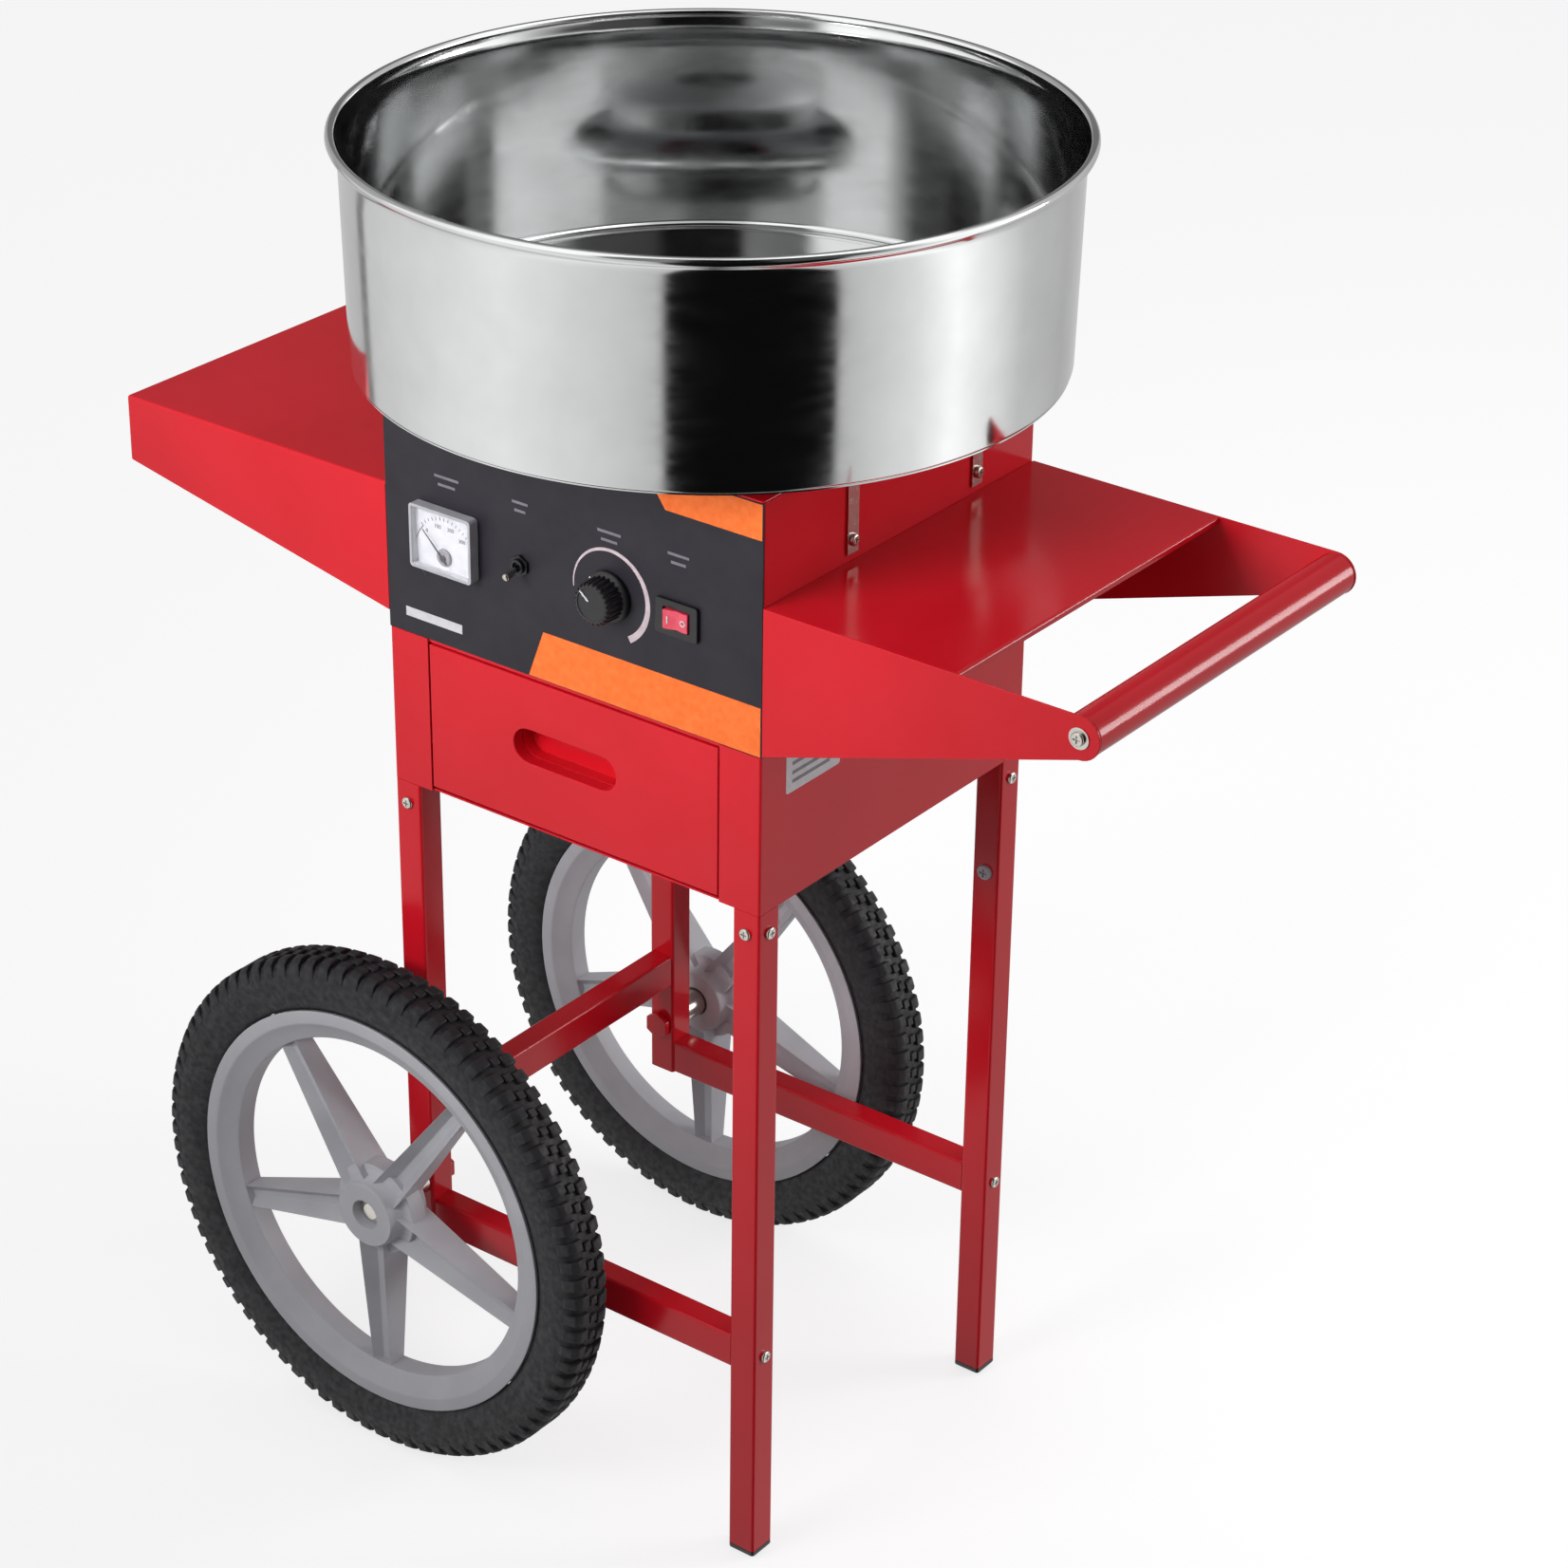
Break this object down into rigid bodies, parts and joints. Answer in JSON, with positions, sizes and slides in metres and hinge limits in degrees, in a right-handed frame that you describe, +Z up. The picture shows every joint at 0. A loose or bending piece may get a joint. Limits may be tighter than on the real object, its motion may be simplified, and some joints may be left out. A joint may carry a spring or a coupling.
{
  "type": "cotton candy machine",
  "caption": "Cotton candy machine with a round steel bowl on a red cabinet with a drawer, side shelf and tray, push handle, two legs and two spoked wheels.",
  "frame": {"origin": "on the floor, under the middle of the object's bounding box", "axes": "+Z up; -Y is the front with the control panel and drawer; +X points to the push handle, -X to the wheels and side shelf"},
  "size_m": [0.8454, 0.52, 1.032],
  "materials": {
    "red_enamel": "glossy powder coat",
    "panel_print": "charcoal printed panel with an orange band",
    "polished_steel": "mirror-polished stainless steel",
    "zinc_steel": "zinc plated",
    "cast_aluminium": "turned casting",
    "wheel_grey": "moulded, fine texture",
    "tyre_rubber": "moulded solid tyre with a block tread",
    "black_plastic": "moulded",
    "white_plastic": "moulded",
    "clear_window": "clear",
    "red_switch": "moulded",
    "black_rubber": "moulded",
    "board_green": "solder mask",
    "carbon": "pressed carbon",
    "copper": "turned",
    "heater_ribbon": "oxidised heating ribbon"
  },
  "bodies": {
    "cart": {"cabinet_shell": "red_enamel", "cabinet_floor": "red_enamel", "machine_deck": "zinc_steel", "top_plate": "red_enamel", "drawer_runner_left": "zinc_steel", "drawer_runner_right": "zinc_steel", "control_panel": "panel_print", "voltmeter_body": "white_plastic", "voltmeter_window": "clear_window", "toggle_bushing": "zinc_steel", "regulator_board": "board_green", "rocker_frame": "black_plastic", "left_shelf": "red_enamel", "right_tray": "red_enamel", "handle_bar": "red_enamel", "leg_front_left": "red_enamel", "leg_front_right": "red_enamel", "leg_rear_left": "red_enamel", "leg_rear_right": "red_enamel", "foot_front": "black_plastic", "foot_rear": "black_plastic", "lower_rail_front": "red_enamel", "lower_rail_rear": "red_enamel", "cross_tube": "red_enamel", "stub_axle_front": "zinc_steel", "stub_axle_rear": "zinc_steel", "bowl_seat_ring": "black_rubber", "bowl_clip_left_front": "polished_steel", "bowl_clip_left_rear": "polished_steel", "bowl_clip_right_front": "polished_steel", "bowl_clip_right_rear": "polished_steel", "motor_body": "cast_aluminium", "motor_bracket": "zinc_steel", "top_bearing": "zinc_steel", "carbon_brush_lower": "carbon", "carbon_brush_upper": "carbon", "brush_holder": "black_plastic", "inlet_gland": "black_plastic"},
    "front_wheel": {"wheel_rim_front": "wheel_grey", "wheel_spokes_front": "wheel_grey", "tyre_front": "tyre_rubber"},
    "rear_wheel": {"wheel_rim_rear": "wheel_grey", "wheel_spokes_rear": "wheel_grey", "tyre_rear": "tyre_rubber"},
    "drawer": {"drawer_front": "red_enamel", "drawer_box": "zinc_steel", "drawer_pull": "red_enamel"},
    "bowl": {"bowl_wall": "polished_steel", "bowl_floor": "polished_steel"},
    "spinner": {"spinner_shaft": "zinc_steel", "slip_rings": "copper", "spinner_base": "cast_aluminium", "heating_ring": "heater_ribbon", "perforated_band": "polished_steel", "spinner_cover": "cast_aluminium"},
    "knob": {"regulator_knob": "black_plastic"},
    "rocker": {"rocker_button": "red_switch"},
    "toggle": {"toggle_lever": "zinc_steel"},
    "needle": {"voltmeter_needle": "black_plastic"}
  },
  "joints": [
    {"name": "front_wheel_spin", "type": "hinge", "parent": "cart", "child": "front_wheel", "pos_m": [-0.16075, -0.199, 0.206], "axis": [0, 1, 0], "continuous": true},
    {"name": "rear_wheel_spin", "type": "hinge", "parent": "cart", "child": "rear_wheel", "pos_m": [-0.16075, 0.199, 0.206], "axis": [0, 1, 0], "continuous": true},
    {"name": "drawer_slide", "type": "slide", "parent": "cart", "child": "drawer", "axis": [0, -1, 0], "range_m": [0, 0.22]},
    {"name": "bowl_lift", "type": "slide", "parent": "cart", "child": "bowl", "axis": [0, 0, 1], "range_m": [0, 0.2]},
    {"name": "spinner_spin", "type": "hinge", "parent": "cart", "child": "spinner", "pos_m": [-0.00575, 0, 0.88], "axis": [0, 0, 1], "continuous": true},
    {"name": "knob_turn", "type": "hinge", "parent": "cart", "child": "knob", "pos_m": [0.03025, -0.165, 0.75], "axis": [0, 1, 0], "range_deg": [-85, 185]},
    {"name": "rocker_tip", "type": "hinge", "parent": "cart", "child": "rocker", "pos_m": [0.08925, -0.153, 0.75], "axis": [0, 0, 1], "range_deg": [-12, 0]},
    {"name": "toggle_tip", "type": "hinge", "parent": "cart", "child": "toggle", "pos_m": [-0.04775, -0.158, 0.75], "axis": [1, 0, 0], "range_deg": [-28, 0]},
    {"name": "needle_swing", "type": "hinge", "parent": "cart", "child": "needle", "pos_m": [-0.11375, -0.162, 0.738], "axis": [0, 1, 0], "range_deg": [0, 90], "stiffness_Nm_per_rad": 0.002}
  ]
}
